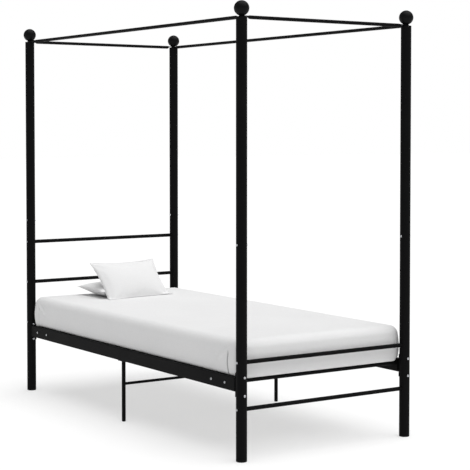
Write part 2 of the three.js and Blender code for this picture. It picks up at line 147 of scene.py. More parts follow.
powderCoat = {
    "deep": (0.0040, 0.0040, 0.0043),
    "worn": (0.0072, 0.0072, 0.0076),
    "clouds": 7.0,        # scale of the wide clouds
    "dust": 85.0,         # of the dusty spots
    "peel": 360.0,        # of the orange peel
    "specks": 972.0,      # and of the specks in it
    "dusty": (0.52, 0.78),
    "wear": (0.6, 0.4),   # shares of clouds and dust
    "peelDepth": 0.000016,
    "speckShare": 0.4,
    "roughness": 0.50,
    "cloudRough": 0.16,
    "dustRough": 0.09,
    "gloss": 0.04,
}


def blackPowderCoat(look=powderCoat):
    f = Finish("black_powder_coat")
    place = f.place()
    cloudy = f.grain(place, look["clouds"], detail=3.0)
    dusty = f.ranged(f.grain(place, look["dust"], detail=5.0, roughness=0.6), *look["dusty"])
    peel = f.grain(place, look["peel"], detail=1.0)
    speck = f.grain(place, look["specks"], detail=0.0)
    wear = cloudy * look["wear"][0] + dusty * look["wear"][1]
    return f.done(
        colour=f.mixed(wear, look["deep"], look["worn"]),
        roughness=look["roughness"] + (cloudy - 0.5) * look["cloudRough"] + dusty * look["dustRough"],
        gloss=look["gloss"],
        normal=f.bumped(peel + speck * look["speckShare"], look["peelDepth"]),
    )


capPlastic = {
    "deep": (0.0050, 0.0050, 0.0052),
    "scuffed": (0.0120, 0.0120, 0.0124),
    "spark": 1400.0,      # scale of the mould's fine texture
    "sparkDepth": 0.000025,
    "scuffs": 60.0,
    "scuffLength": 5.0,
    "scuffRange": (0.5, 0.75),
    "roughness": 0.55,
    "scuffRough": 0.2,
    "gloss": 0.12,
}


def mouldedCapPlastic(look=capPlastic):
    f = Finish("moulded_cap_plastic")
    place = f.place()
    spark = f.grain(place, look["spark"], detail=1.0)
    lengthened = f.stretched(place, 1.0, 1.0, look["scuffLength"])
    scuff = f.grain(lengthened, look["scuffs"], detail=6.0, roughness=0.65)
    scuff = f.ranged(scuff, *look["scuffRange"])
    return f.done(
        colour=f.mixed(scuff, look["deep"], look["scuffed"]),
        roughness=look["roughness"] + scuff * look["scuffRough"],
        gloss=look["gloss"],
        normal=f.bumped(spark, look["sparkDepth"]),
    )


ballLacquer = {
    "deep": (0.0036, 0.0036, 0.0039),
    "hazy": (0.0066, 0.0066, 0.0070),
    "haze": 45.0,
    "ripple": 260.0,
    "rippleDepth": 0.00001,
    "roughness": 0.36,
    "hazeRough": 0.12,
    "gloss": 0.07,
}


def ballBlackLacquer(look=ballLacquer):
    f = Finish("ball_black_lacquer")
    place = f.place()
    haze = f.grain(place, look["haze"], detail=4.0)
    ripple = f.grain(place, look["ripple"], detail=1.0)
    return f.done(
        colour=f.mixed(haze, look["deep"], look["hazy"]),
        roughness=look["roughness"] + haze * look["hazeRough"],
        gloss=look["gloss"],
        normal=f.bumped(ripple, look["rippleDepth"]),
    )


zinc = {
    "bright": (0.68, 0.69, 0.71),
    "dull": (0.46, 0.47, 0.49),
    "spangle": 420.0,
    "turning": 900.0,     # scale of the fine tool marks
    "turningLength": 6.0,
    "turningDepth": 0.00003,
    "turningShare": 0.6,
    "roughness": 0.26,
    "spangleRough": 0.22,
}


def zincPlating(look=zinc):
    f = Finish("zinc_plating")
    place = f.place()
    spangle = f.grain(place, look["spangle"], detail=3.0)
    turning = f.grain(f.stretched(place, 1.0, 1.0, look["turningLength"]), look["turning"], detail=2.0)
    return f.done(
        colour=f.mixed(spangle, look["dull"], look["bright"]),
        roughness=look["roughness"] + spangle * look["spangleRough"],
        metal=1.0,
        normal=f.bumped(turning, look["turningDepth"], look["turningShare"]),
    )


def plainWeave(f, place, pitch):
    # crossing threads along all three axes, so that every side of a piece shows a weave
    turns = f.stretched(place, *[2 * math.pi / pitch] * 3)
    x, y, z = (f.split(turns, axis).sine() for axis in "XYZ")
    return (x * y + y * z + z * x) * 0.25 + 0.5


pocketSeam = {
    "fromEnd": 0.071,     # of the mattress, where the corner pocket is sewn
    "sway": 0.0035,       # how far it bows on its way down
    "bowStart": 0.3,      # heights on the side, as shares from its top down
    "darkStart": (0.28, 0.42),
    "darkEnd": (1.0, 0.94),
    "onSide": (0.010, 0.006),
    # core and shadowStrength set the painted shadow in the seam's fold; darkStart and darkEnd set where it
    # comes in down the side
    "core": 0.25,         # share of the fold's width that is darkest
    "shadowStrength": 0.8,
}


def paintedSeamShadow(f, place, seams):
    # painted shadow: the shade inside the narrow folds where the corner pockets are sewn, laid into the
    # cloth's colour
    across, along = f.split(place, "X").size(), f.split(place, "Y").size()
    down = (seams["top"] - f.split(place, "Z")) * (1 / (seams["top"] - seams["bottom"]))
    bowStart = pocketSeam["bowStart"]
    bow = ((down - bowStart) * (math.pi / (1 - bowStart))).sine()
    away = (along - (seams["end"] - bow * pocketSeam["sway"])).size()
    line = f.ranged(away, seams["halfWidth"], seams["halfWidth"] * pocketSeam["core"])
    height = f.ranged(down, *pocketSeam["darkStart"]) * f.ranged(down, *pocketSeam["darkEnd"])
    outside = f.ranged(across, *(seams["side"] - inset for inset in pocketSeam["onSide"]))
    return line * height * outside * pocketSeam["shadowStrength"]


cottonThreads = {
    "thread": 38.0,       # scale of the uneven threads
    "threadLength": 9.0,
    "handling": 3.2,      # scale of the broad unevenness
    "shares": (0.5, 0.3, 0.2),
    "shadeRange": (0.35, 0.65),
    "roughness": 0.84,
    "threadRough": 0.14,
    "gloss": 0.15,
    "sheenSpread": 0.5,
    "relief": (0.4, 0.6), # shares of the weave and the threads
}


def cottonCloth(name, look, seams=None):
    f = Finish(name)
    place = f.place()
    weave = plainWeave(f, place, look["pitch"])
    thread, longer = cottonThreads["thread"], cottonThreads["threadLength"]
    warp = f.grain(f.stretched(place, longer, 1.0, longer), thread, detail=4.0, roughness=0.6)
    weft = f.grain(f.stretched(place, 1.0, longer, 1.0), thread, detail=4.0, roughness=0.6)
    slub = warp * 0.5 + weft * 0.5
    handled = f.grain(place, cottonThreads["handling"], detail=3.0)
    slubShare, handledShare, weaveShare = cottonThreads["shares"]
    mottle = slub * slubShare + handled * handledShare + weave * weaveShare
    colour = f.mixed(f.ranged(mottle, *cottonThreads["shadeRange"]), look["shaded"], look["bleached"])
    # painted shadow in the folds of the pockets' seams, mixed into the cloth's colour
    if seams:
        colour = f.mixed(paintedSeamShadow(f, place, seams), colour, look["seamShadow"])
    weaveRelief, slubRelief = cottonThreads["relief"]
    return f.done(
        colour=colour,
        roughness=cottonThreads["roughness"] + slub * cottonThreads["threadRough"],
        gloss=cottonThreads["gloss"],
        sheen=look["sheen"],
        sheenSpread=cottonThreads["sheenSpread"],
        normal=f.bumped(weave * weaveRelief + slub * slubRelief, look["depth"]),
    )


sheetCotton = {
    "shaded": (0.715, 0.715, 0.717),
    "bleached": (0.770, 0.770, 0.772),
    "pitch": 0.0010,
    "depth": 0.00022,
    "sheen": 0.05,
    # colour of the painted shadow in the seam's fold
    "seamShadow": (0.16, 0.16, 0.16),
}
pillowCotton = {
    "shaded": (0.735, 0.735, 0.737),
    "bleached": (0.785, 0.785, 0.787),
    "pitch": 0.0008,
    "depth": 0.00018,
    "sheen": 0.05,
}
ticking = {
    "shaded": (0.520, 0.515, 0.500),
    "bleached": (0.620, 0.615, 0.600),
    "pitch": 0.0022,
    "depth": 0.00045,
    "sheen": 0.03,
}

steelFinish = blackPowderCoat()
capFinish = mouldedCapPlastic()
ballFinish = ballBlackLacquer()
zincFinish = zincPlating()
pillowFinish = cottonCloth("pillow_cotton", pillowCotton)
tickingFinish = cottonCloth("mattress_ticking", ticking)
print("finishes ready")


def newPiece(name, points, faces, finish, body):
    mesh = bpy.data.meshes.new(name)
    mesh.from_pydata([tuple(p) for p in points], [], faces)
    mesh.validate()
    mesh.shade_smooth()
    mesh.materials.append(finish)
    piece = bpy.data.objects.new(name, mesh)
    bpy.context.scene.collection.objects.link(piece)
    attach(piece, body)
    return piece


def turnedLoops(loops, sides):
    # a closed piece about Z; each loop is (radius or a function of the angle, height)
    points, faces = [], []
    for radius, height in loops:
        for i in range(sides):
            angle = 2 * math.pi * i / sides
            reach = radius(angle) if callable(radius) else radius
            points.append(Vector((reach * math.cos(angle), reach * math.sin(angle), height)))
    for k in range(len(loops) - 1):
        for i in range(sides):
            a, b = k * sides + i, k * sides + (i + 1) % sides
            faces.append((a, b, b + sides, a + sides))
    last = (len(loops) - 1) * sides
    faces.append(tuple(range(sides - 1, -1, -1)))
    faces.append(tuple(range(last, last + sides)))
    return points, faces


def soften(piece, width, angle=35.0):
    bevel = piece.modifiers.new("soft_edges", "BEVEL")
    bevel.width = width
    bevel.segments = 2
    bevel.limit_method = "ANGLE"
    bevel.angle_limit = math.radians(angle)
    weighted = piece.modifiers.new("even_shading", "WEIGHTED_NORMAL")
    weighted.keep_sharp = False


edgeWidths = {"post": 0.0005, "side": 0.0007, "foot_cap": 0.0006}
cleaning = {"weld": 0.00002, "flatAngle": 1.0, "edge": 0.0004}


def finishNode(name, node, finish):
    mesh = node.data
    for layer in ("custom_normal", "sharp_edge", "sharp_face"):
        if layer in mesh.attributes:
            mesh.attributes.remove(mesh.attributes[layer])
    mesh.shade_smooth()
    weld = node.modifiers.new("weld", "WELD")
    weld.merge_threshold = cleaning["weld"]
    flat = node.modifiers.new("flat_faces", "DECIMATE")
    flat.decimate_type = "DISSOLVE"
    flat.angle_limit = math.radians(cleaning["flatAngle"])
    widths = [width for start, width in edgeWidths.items() if name.startswith(start)]
    soften(node, widths[0] if widths else cleaning["edge"])
    mesh.materials.clear()
    mesh.materials.append(finish)


for nodeName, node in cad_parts.items():
    if nodeName.startswith("foot_cap"):
        finishNode(nodeName, node, capFinish)
    elif not nodeName.startswith(("mattress", "pillow", "ball", "bracket_bolt")):
        finishNode(nodeName, node, steelFinish)
print("frame pieces finished")


ballLook = {
    "sides": 56,
    "rings": 30,
    "seamWidth": 0.0012,
    "seamHeight": 0.00015,
    "fuller": 0.0006,     # radius beyond the plain sphere's
    "stud": 0.004,        # radius
    "studPoint": 0.8,     # share of the radius at its end
    "studChamfer": 0.001,
    "collar": 0.0125,     # radius of the foot that it stands on the rails with
    "collarEdge": 0.97,
    "collarGap": 0.0004,
    "pole": 0.012,        # share of the radius that is flat at the top
    "softEdge": (0.0003, 50.0),
}


def ballFinial(corner):
    low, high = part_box("ball_finial_" + corner)
    centreX, centreY = (low.x + high.x) / 2, (low.y + high.y) / 2
    radius = (high.x - low.x) / 2 + ballLook["fuller"]
    middle = high.z - radius
    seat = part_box("canopy_rail_head")[1].z if "head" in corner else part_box("canopy_rail_foot")[1].z
    stud, collar, gap = ballLook["stud"], ballLook["collar"], ballLook["collarGap"]
    start = math.asin(collar / radius)
    loops = [(stud * ballLook["studPoint"], low.z), (stud, low.z + ballLook["studChamfer"])]
    loops += [(stud, seat + gap), (collar * ballLook["collarEdge"], seat + gap)]
    loops.append((collar, seat + gap * 2))
    for k in range(ballLook["rings"]):
        angle = start + (math.pi - start) * k / ballLook["rings"]
        height = middle - radius * math.cos(angle)
        seam = math.exp(-((height - middle) / ballLook["seamWidth"]) ** 2) * ballLook["seamHeight"]
        loops.append(((radius + seam) * math.sin(angle), height))
    loops.append((radius * ballLook["pole"], high.z))
    points, faces = turnedLoops(loops, ballLook["sides"])
    points = [p + Vector((centreX, centreY, 0)) for p in points]
    ball = newPiece("ball_" + corner, points, faces, ballFinish, "root")
    soften(ball, *ballLook["softEdge"])
    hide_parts("ball_finial_" + corner)


cornerNames = ["head_left", "head_right", "foot_left", "foot_right"]
for corner in cornerNames:
    ballFinial(corner)
print("ball finials made")


boltLook = {
    "head": 0.0055,      # radius of the head
    "rise": 0.0036,      # height of the head
    "socket": 0.0020,    # half the width across the socket's flats
    "socketDepth": 0.0017,
    "shank": 0.0029,
    "nut": 0.0050,       # half the width across the nut's flats
    "nutHeight": 0.0046,
    "foot": (0.97, 0.0002),   # share of the head's radius at its underside, and the slope's height
    "brim": 0.35,        # share of the head's height that is upright
    "domeAngle": 62.0,
    "domeTop": 0.883,    # sine of that angle
    "socketMouth": (1.1, 0.0003),
    "socketMiddle": (0.0006, 0.0003),
    "nutFaces": (0.90, 0.86, 0.93),   # shares of its half width at both faces and their edges
    "nutSlopes": (0.0001, 0.0006, 0.0007),
    "nutHole": 1.05,
    "rodPoint": (0.75, 0.0006),
    "pastNut": 0.0012,
    "sunk": 0.0006,      # how deep a through bolt's head is set in
    "screwSunk": 0.0007,
    "softEdge": (0.00018, 40.0),
    "sides": 36,
}


def hexRadius(halfWidth):
    sixth = math.pi / 3
    return lambda angle: halfWidth / math.cos((angle % sixth) - sixth / 2)


def headLoops(sunk):
    # a low domed head with a hexagon socket, from its seat outwards
    head, rise, brim = boltLook["head"], boltLook["rise"], boltLook["brim"]
    footShare, footSlope = boltLook["foot"]
    loops = [(head * footShare, -sunk), (head, -sunk + footSlope), (head, rise * brim)]
    for share in (0.2, 0.4, 0.6, 0.8, 1.0):
        angle = share * math.radians(boltLook["domeAngle"])
        dome = (1 - brim) * math.sin(angle) / boltLook["domeTop"]
        loops.append((head * math.cos(angle), rise * (brim + dome)))
    mouthShare, mouthSlope = boltLook["socketMouth"]
    middle, middleSlope = boltLook["socketMiddle"]
    mouth, hexagon = hexRadius(boltLook["socket"] * mouthShare), hexRadius(boltLook["socket"])
    floor = rise - boltLook["socketDepth"]
    loops += [(mouth, rise), (hexagon, rise - mouthSlope), (hexagon, floor), (middle, floor - middleSlope)]
    return loops


def nutLoops():
    nut, height = boltLook["nut"], boltLook["nutHeight"]
    near, far, edge = boltLook["nutFaces"]
    step, nearSlope, farSlope = boltLook["nutSlopes"]
    outer, inner = hexRadius(nut), hexRadius(nut * edge)
    return [
        (nut * near, 0.0),
        (inner, step),
        (outer, nearSlope),
        (outer, height - farSlope),
        (inner, height - step),
        (nut * far, height),
        (boltLook["shank"] * boltLook["nutHole"], height),
    ]


def placed(loops, seat, outward):
    points, faces = turnedLoops(loops, boltLook["sides"])
    turn = Vector(outward).to_track_quat("Z", "Y").to_matrix()
    return [turn @ p + Vector(seat) for p in points], faces


def joinedMesh(parts):
    points, faces = [], []
    for somePoints, someFaces in parts:
        faces += [tuple(i + len(points) for i in face) for face in someFaces]
        points += somePoints
    return points, faces


def zincPiece(name, points, faces):
    piece = newPiece(name, points, faces, zincFinish, "root")
    soften(piece, *boltLook["softEdge"])
    return piece


def screw(name, seat, outward, sunk=boltLook["screwSunk"]):
    zincPiece(name, *placed(headLoops(sunk), seat, outward))


def throughBolt(name, axis, outward, headSeat, nutSeat):
    # the head stands at headSeat from the axis on the outward side, the nut beyond nutSeat
    direction, shank, sunk = Vector(outward), boltLook["shank"], boltLook["sunk"]
    length = headSeat + nutSeat + boltLook["nutHeight"] + boltLook["pastNut"]
    head = placed(headLoops(sunk), axis + direction * headSeat, direction)
    pointShare, pointSlope = boltLook["rodPoint"]
    shaft = [(shank, sunk / 2), (shank, length - pointSlope), (shank * pointShare, length)]
    rod = placed(shaft, axis + direction * headSeat, -direction)
    nut = placed(nutLoops(), axis - direction * nutSeat, -direction)
    return zincPiece(name, *joinedMesh([head, rod, nut]))


def middleOf(node):
    low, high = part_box(node)
    return (low + high) / 2


postRadius = (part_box("foot_cap_head_left")[1].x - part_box("foot_cap_head_left")[0].x) / 2
boltPlaces = {
    "splice": 0.927,      # height of the bolts at the posts' splices
    "sideBolts": 0.327,   # height of the bolts at the side rails' ends
    "sideBoltsFromPost": (0.1065, 0.2135),   # distances from the post's axis
    "sideBoltSunk": 0.0001,
    "rodPastNut": 0.001,  # of the bracket bolts in the frame
}

for corner in cornerNames:
    post = middleOf("foot_cap_" + corner)
    sideways = Vector((-1 if "left" in corner else 1, 0, 0))
    axis = Vector((post.x, post.y, boltPlaces["splice"]))
    throughBolt("splice_bolt_" + corner, axis, (-1, 0, 0), postRadius, postRadius)
    for level in ("upper", "lower"):
        node = f"bracket_bolt_{level}_{corner}"
        low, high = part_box(node)
        headSeat = post.y - low.y - boltLook["rise"]
        nutSeat = high.y - post.y - boltLook["nutHeight"] - boltPlaces["rodPastNut"]
        axis = Vector((post.x, post.y, (low.z + high.z) / 2))
        bolt = throughBolt(f"bolt_{level}_{corner}", axis, (0, -1, 0), headSeat, nutSeat)
        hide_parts(node)
    railNode = "side_rail_" + "_".join(reversed(corner.split("_")))
    railLow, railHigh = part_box(railNode)
    faceX = railLow.x if "left" in corner else railHigh.x
    for i, distance in enumerate(boltPlaces["sideBoltsFromPost"], 1):
        y = post.y + (-distance if "head" in corner else distance)
        seat = Vector((faceX, y, boltPlaces["sideBolts"]))
        screw(f"side_bolt_{i}_{corner}", seat, sideways, boltPlaces["sideBoltSunk"])
    end, side = corner.split("_")
    for railName in [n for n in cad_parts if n.startswith(end + "_rail_")]:
        seat = Vector((post.x, post.y, middleOf(railName).z)) + sideways * postRadius
        screw(f"end_screw_{railName}_{side}", seat, sideways)
print("bolts and screws made")


mattressLook = {
    "edge": 0.044,        # rounding of the top edge
    "corner": 0.032,      # rounding of the corners, seen from above
    "lowerEdge": 0.011,
    "insetSide": 0.006,   # from the space it may take to the flat of the side
    "bulge": 0.0050,
    "crown": 0.0030,
    "overRail": 0.0022,   # gap to the rails it lies over
    "drop": 0.0118,       # how much lower it reaches at its ends, between the rails
    "fine": 0.0045,       # spacing of the mesh near the edges
    "coarse": 0.026,      # and in the middle
    "fineBand": 0.14,
    "steps": (13, 9, 7),  # of the outline round the top edge, down the side, round the lower edge
    "lowerTurn": 250,     # angle at which the lower edge ends
    "pastRail": [(0.0172, -0.001), (0.0192, -0.004)],
    "ontoSlats": [(0.0204, 0.0030), (0.0235, 0.0006), (0.0285, 0.0)],
    "wellInside": 0.3,
    "dropInside": (0.022, 0.003),   # where the lower ends start: from the side rail's inner face,
    "dropFromEnd": (0.07, 0.03),    # from the mattress's end,
    "dropAbove": (0.004, 0.055),    # and above the rails
}
sheetLook = {
    "thickness": 0.0009,
    "tuck": 0.105,        # how far it reaches in under the mattress
    "flat": (1.42, 2.49), # cut size, with the corner squares cut out
    "cutCorner": 0.26,
}
coreLook = {
    "under": 0.0055,      # how far the foam lies under the sheet
    "tuck": 0.12,         # from the sides to the flat of the underside
    "rise": 0.0045,
    "fine": 0.012,
}

mattressLow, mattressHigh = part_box("mattress")
sideRailLow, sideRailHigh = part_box("side_rail_right_head")
railTop = sideRailHigh.z
sheetBottom = mattressLow.z + 0.0012
halfWidth = mattressHigh.x - mattressLook["insetSide"]
halfLength = mattressHigh.y + 0.001
mattressTop = mattressHigh.z - 0.001


def spacedLine(half, fine):
    # places from -half to half, close together near both ends
    band, coarse = mattressLook["fineBand"], mattressLook["coarse"]
    middle = half - band
    inner = np.linspace(-middle, middle, max(2, round(2 * middle / coarse)) + 1)
    outer = np.linspace(middle, half, round(band / fine) + 1)[1:]
    return np.concatenate([-outer[::-1], inner, outer])


def sectionLine(offset, tuck, bottom):
    # (inset, height) from the flat of the top over the edge and the side to the underside
    top, edge, lower = mattressTop, mattressLook["edge"], mattressLook["lowerEdge"]
    overRail = railTop + mattressLook["overRail"]
    edgeSteps, sideSteps, lowerSteps = mattressLook["steps"]
    line = []
    for angle in np.linspace(90, 180, edgeSteps):
        a = math.radians(angle)
        line.append((edge + edge * math.cos(a), top - edge + edge * math.sin(a)))
    for share in np.linspace(0, 1, sideSteps)[1:]:
        bulge = mattressLook["bulge"] * math.sin(math.pi * share)
        line.append((-bulge, (top - edge) * (1 - share) + (overRail + lower) * share))
    for angle in np.linspace(180, mattressLook["lowerTurn"], lowerSteps)[1:]:
        a = math.radians(angle)
        line.append((lower + lower * math.cos(a), overRail + lower + lower * math.sin(a)))
    line += [(inset, overRail + rise) for inset, rise in mattressLook["pastRail"]]
    line += [(inset, bottom + rise) for inset, rise in mattressLook["ontoSlats"]]
    line = np.array(line + [(tuck, bottom)])
    along = np.gradient(line, axis=0)
    along /= np.linalg.norm(along, axis=1)[:, None]
    normal = np.stack([-along[:, 1], along[:, 0]], 1)
    outward = np.stack([line[:, 0] - mattressLook["wellInside"], line[:, 1] - (top + bottom) / 2], 1)
    normal *= np.sign((normal * outward).sum(1))[:, None]
    moved = line + normal * offset
    moved[-1, 0] = tuck
    return moved


def alongSide(place, straight, zone, half, radius):
    # one coordinate of the outline, for a place on the sharp ring
    over = abs(place) - straight
    if over <= 0:
        return place * (half - radius) / straight
    return math.copysign(half - radius + radius * min(1.0, over / zone), place)


def ringPoint(x, y, ringX, ringY, inset):
    # a point of the sharp ring goes to the rounded outline at that inset
    halfX = halfWidth - inset
    halfY = halfLength - inset
    radius = max(mattressLook["corner"] - inset, 0.0)
    zone = max(radius * math.pi / 4, 1e-6)
    overX, overY = abs(x) - (ringX - zone), abs(y) - (ringY - zone)
    if overX <= 0 or overY <= 0 or radius == 0:
        px = alongSide(x, ringX - zone, zone, halfX, radius)
        py = alongSide(y, ringY - zone, zone, halfY, radius)
        return px, py
    share = max(overX, overY) / zone
    if overX >= overY:
        angle = overY / zone / share * math.pi / 4
    else:
        angle = math.pi / 2 - overX / zone / share * math.pi / 4
    px = halfX - radius + radius * share * math.cos(angle)
    py = halfY - radius + radius * share * math.sin(angle)
    return math.copysign(px, x), math.copysign(py, y)


def lowered(x, y, z, bottom):
    # between the rails the ends reach down to the tubes under them
    inside = 1 - smoothStep(*(sideRailLow.x - gap for gap in mattressLook["dropInside"]), abs(x))
    atEnd = smoothStep(*(halfLength - gap for gap in mattressLook["dropFromEnd"]), abs(y))
    under = 1 - smoothStep(*(railTop + gap for gap in mattressLook["dropAbove"]), z)
    return max(bottom, z - mattressLook["drop"] * inside * atEnd * under)


def rimOf(lastI, lastJ):
    # the places round the edge of a grid, in order
    rim = [(i, 0) for i in range(lastI)] + [(lastI, j) for j in range(lastJ)]
    return rim + [(i, lastJ) for i in range(lastI, 0, -1)] + [(0, j) for j in range(lastJ, 0, -1)]


def wrappedCover(offset, tuck, bottom, fine, closed=False):
    # a grid over the top, rows down the sides and in under the mattress
    line = sectionLine(offset, tuck, bottom)
    lengths = np.concatenate([[0], np.cumsum(np.linalg.norm(np.diff(line, axis=0), axis=1))])
    edgeAt = mattressLook["edge"] * math.pi / 2 / 2   # half the length of the top edge's arc
    ringX = halfWidth - mattressLook["edge"] + edgeAt
    ringY = halfLength - mattressLook["edge"] + edgeAt
    xs, ys = spacedLine(ringX, fine), spacedLine(ringY, fine)
    top = mattressTop + offset

    def section(s):
        # s is measured down over the edge; negative on the top
        along = s + edgeAt
        if along <= 0:
            return mattressLook["edge"] - along, top
        return np.interp(along, lengths, line[:, 0]), np.interp(along, lengths, line[:, 1])

    points, drops = [], []
    for y in ys:
        for x in xs:
            s = -min(ringX - abs(x), ringY - abs(y))
            inset, height = section(s)
            px, py = ringPoint(x, y, max(ringX + s, 1e-4), max(ringY + s, 1e-4), inset)
            dome = (1 - (px / halfWidth) ** 2) * (1 - (py / halfLength) ** 4)
            points.append((px, py, height + mattressLook["crown"] * max(dome, 0.0)))
            drops.append(s)
    countX, countY = len(xs), len(ys)
    faces = []
    for j in range(countY - 1):
        for i in range(countX - 1):
            a = j * countX + i
            faces.append((a, a + 1, a + 1 + countX, a + countX))
    rim = rimOf(countX - 1, countY - 1)
    previous = [j * countX + i for i, j in rim]
    total = lengths[-1] - edgeAt
    rows = round(total / fine)
    for k in range(1, rows + 1):
        s = total * k / rows
        inset, height = section(s)
        start = len(points)
        for i, j in rim:
            px, py = ringPoint(xs[i], ys[j], ringX, ringY, inset)
            points.append((px, py, lowered(px, py, height, bottom)))
            drops.append(s)
        ring = list(range(start, start + len(rim)))
        for n in range(len(rim)):
            m = (n + 1) % len(rim)
            faces.append((previous[m], previous[n], ring[n], ring[m]))
        previous = ring
    if closed:
        inside = {key: previous[n] for n, key in enumerate(rim)}
        scaleX = (halfWidth - tuck) / ringX
        scaleY = (halfLength - tuck) / ringY
        for j in range(1, countY - 1):
            for i in range(1, countX - 1):
                inside[(i, j)] = len(points)
                points.append((xs[i] * scaleX, ys[j] * scaleY, bottom))
        for j in range(countY - 1):
            for i in range(countX - 1):
                around = [(i, j), (i, j + 1), (i + 1, j + 1), (i + 1, j)]
                faces.append(tuple(inside[key] for key in around))
    return np.array(points), faces, drops, previous


def bell(distance, width):
    return math.exp(-(distance / width) ** 2)


def smoothStep(low, high, value):
    t = min(1.0, max(0.0, (value - low) / (high - low)))
    return t * t * (3 - 2 * t)


foldLook = {
    "drop": 0.0009,       # height of the long low ripples
    "dropFrom": (0.12, 0.35),      # heights on the side, as shares from its top down
    "dropTo": (0.90, 0.98),
    "rippleScale": (9.0, 2.2),     # along and down
    "closerScale": (26.0, 4.0),
    "closer": 0.22,       # how far from the corners the ripples are closer together
    "tension": 0.0056,    # height of the fold that runs down from each corner
    "tensionWidth": 0.013,
    "tensionStart": 0.006,
    "tensionSlope": 0.27,
    "tensionMiddle": 0.12,
    "tensionReach": 0.07,
    "besideTension": 0.4, # depth of the hollow under that fold, as a share of its height
    "besideTensionAt": 1.9,
    "seam": 0.0048,       # depth of the pocket's seam
    "seamWidth": 0.0046,
    "beside": 0.0034,     # height of the cloth beside the seam
    "besideAt": 2.4,      # in widths of the seam
    "besideWidth": 1.6,
    "farSide": 0.3,       # share of that height on the seam's other side
    "seamStart": (0.30, 0.45),
    "seamStop": (0.93, 0.99),
    "top": 0.0006,        # height of the faint hollows on the top
    "topEdge": (-0.02, 0.02),
    "hollowScale": 1.3,
    "smallScale": (7.0, 3.0),
    "smallShare": 0.45,
}


def shareDown(z):
    return (mattressTop - z) / (mattressTop - railTop)


def seamFromEnd(z):
    # the seam bows a little on its way down
    start = pocketSeam["bowStart"]
    bow = math.sin(math.pi * (shareDown(z) - start) / (1 - start))
    return pocketSeam["fromEnd"] + pocketSeam["sway"] * bow


def between(start, stop, value):
    return smoothStep(*start, value) * (1 - smoothStep(*stop, value))


def sheetFold(x, y, z, s):
    # how far the cloth stands off the mattress at a place, in metres
    down = shareDown(z)
    onSide = between(foldLook["dropFrom"], foldLook["dropTo"], down)
    onTop = 1 - smoothStep(*foldLook["topEdge"], s)
    onLong = halfWidth - abs(x) < halfLength - abs(y)
    along = y if onLong else x
    fromEnd = (halfLength - abs(y)) if onLong else (halfWidth - abs(x))
    # long low ripples of the drop, closer together towards the corners
    scaleAlong, scaleDown = foldLook["rippleScale"]
    ripple = noise.noise(Vector((along * scaleAlong, z * scaleDown, 4.0 + x * 0.3)))
    scaleAlong, scaleDown = foldLook["closerScale"]
    tight = noise.noise(Vector((along * scaleAlong, z * scaleDown, 9.0)))
    rise = onSide * foldLook["drop"] * (ripple + bell(fromEnd, foldLook["closer"]) * tight)
    if onLong:
        # a tension fold runs from the top of the corner down along the side
        slope = fromEnd + foldLook["tensionStart"] - foldLook["tensionSlope"] * down
        near = bell(fromEnd - foldLook["tensionMiddle"], foldLook["tensionReach"])
        width, dip = foldLook["tensionWidth"], foldLook["besideTension"]
        rise += onSide * near * foldLook["tension"] * bell(slope, width)
        under = slope - width * foldLook["besideTensionAt"]
        rise -= onSide * near * foldLook["tension"] * dip * bell(under, width)
        # the sewn pocket's seam comes near the end of each long side
        line = fromEnd - seamFromEnd(z)
        seam = between(foldLook["seamStart"], foldLook["seamStop"], down)
        width = foldLook["seamWidth"]
        besideAt, besideWidth = width * foldLook["besideAt"], width * foldLook["besideWidth"]
        rise -= seam * foldLook["seam"] * bell(line, width)
        rise += seam * foldLook["beside"] * bell(line - besideAt, besideWidth)
        rise += seam * foldLook["beside"] * foldLook["farSide"] * bell(line + besideAt, besideWidth)
    # the top is almost flat, with faint hollows
    scale, (scaleX, scaleY) = foldLook["hollowScale"], foldLook["smallScale"]
    hollow = noise.noise(Vector((x * scale, y * scale, z * scale)))
    small = noise.noise(Vector((x * scaleX, y * scaleY, 2.0)))
    return rise + onTop * foldLook["top"] * (hollow + foldLook["smallShare"] * small)


def makeMattress():
    bottom = mattressLow.z + coreLook["rise"]
    under, tuck, fine = coreLook["under"], coreLook["tuck"], coreLook["fine"]
    core, faces, _, _ = wrappedCover(-under, tuck, bottom, fine, closed=True)
    piece = newPiece("mattress_core", core, faces, tickingFinish, "mattress")
    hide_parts("mattress")


def makeSheet():
    seams = {
        "top": mattressTop,
        "bottom": railTop,
        "side": halfWidth,
        "end": halfLength - pocketSeam["fromEnd"],
        "halfWidth": foldLook["seamWidth"],
    }
    sheetFinish = cottonCloth("sheet_cotton", sheetCotton, seams)
    tuck, fine = sheetLook["tuck"], mattressLook["fine"]
    points, faces, drops, hemRing = wrappedCover(0.0, tuck, sheetBottom, fine)
    sheet = newPiece("fitted_sheet", points, faces, sheetFinish, "mattress")
    normals = np.zeros(len(points) * 3, np.float32)
    sheet.data.vertices.foreach_get("normal", normals)
    normals = normals.reshape(-1, 3)
    rises = [sheetFold(*place, drop) for place, drop in zip(points, drops)]
    points = points + normals * np.array(rises)[:, None]
    sheet.data.vertices.foreach_set("co", points.astype(np.float32).ravel())
    sheet.data.update()
    solid = sheet.modifiers.new("cloth_thickness", "SOLIDIFY")
    solid.thickness = sheetLook["thickness"]
    solid.offset = 0.0
    print("fitted sheet:", len(points), "points")
    return sheet, points[hemRing], sheetFinish


hemLook = {"halfWidth": 0.0045, "halfHeight": 0.0007, "sides": 8, "wave": 0.0012, "waveTurn": 1.9}


def tubeFaces(count, sides):
    # the faces of a tube that closes on itself, count rings long
    faces = []
    for n in range(count):
        m = (n + 1) % count
        for k in range(sides):
            j = (k + 1) % sides
            faces.append((n * sides + k, n * sides + j, m * sides + j, m * sides + k))
    return faces


